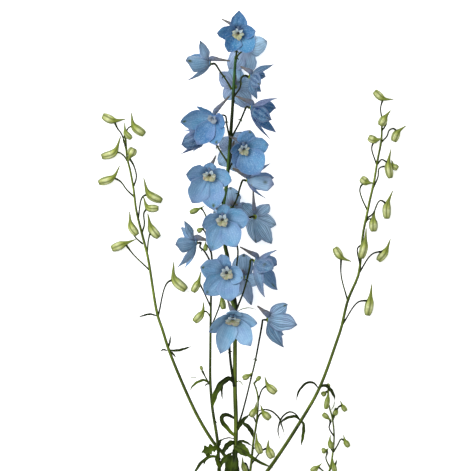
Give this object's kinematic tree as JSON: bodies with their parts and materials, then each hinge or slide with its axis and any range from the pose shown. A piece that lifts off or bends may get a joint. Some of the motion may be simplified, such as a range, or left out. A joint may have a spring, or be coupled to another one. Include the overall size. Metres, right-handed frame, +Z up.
{
  "type": "cut delphinium stem",
  "caption": "Cut flowering delphinium stem with spurred sky-blue blooms, budded side stems and narrow leaves, laid on a flat surface.",
  "frame": {"origin": "on the surface that the plant lies on, below the middle of its bounding box", "axes": "+Y along the main stem from its cut end towards the top bloom, +Z up from the surface, +X to the right as seen from above with the top bloom away from the viewer"},
  "size_m": [0.3086, 0.6386, 0.058],
  "materials": {
    "petal_blue": "matte",
    "bee_cream": "matte",
    "stem_green": "satin"
  },
  "bodies": {
    "root": {"bloom_01": "petal_blue", "bloom_01_bee": "bee_cream", "bloom_02": "petal_blue", "bloom_02_bee": "bee_cream", "bloom_03": "petal_blue", "bloom_03_bee": "bee_cream", "bloom_04": "petal_blue", "bloom_04_bee": "bee_cream", "bloom_05": "petal_blue", "bloom_05_bee": "bee_cream", "bloom_06": "petal_blue", "bloom_06_bee": "bee_cream", "bloom_07": "petal_blue", "bloom_07_bee": "bee_cream", "bloom_08": "petal_blue", "bloom_08_bee": "bee_cream", "bloom_09": "petal_blue", "bloom_09_bee": "bee_cream", "bloom_10": "petal_blue", "bloom_10_bee": "bee_cream", "bloom_11": "petal_blue", "bloom_11_bee": "bee_cream", "bloom_12": "petal_blue", "bloom_12_bee": "bee_cream", "bloom_13": "petal_blue", "bloom_13_bee": "bee_cream", "bloom_14": "petal_blue", "bloom_14_bee": "bee_cream", "bloom_15": "petal_blue", "bloom_15_bee": "bee_cream", "bloom_16": "petal_blue", "bloom_16_bee": "bee_cream", "bloom_17": "petal_blue", "bloom_17_bee": "bee_cream", "bloom_18": "petal_blue", "bloom_18_bee": "bee_cream", "bloom_19": "petal_blue", "bloom_19_bee": "bee_cream", "bloom_20": "petal_blue", "bloom_20_bee": "bee_cream", "bloom_21": "petal_blue", "bloom_21_bee": "bee_cream", "main_stem": "stem_green", "left_branch": "stem_green", "inner_left_stem": "stem_green", "middle_spray": "stem_green", "low_right_spray": "stem_green", "right_branch": "stem_green"}
  },
  "joints": []
}
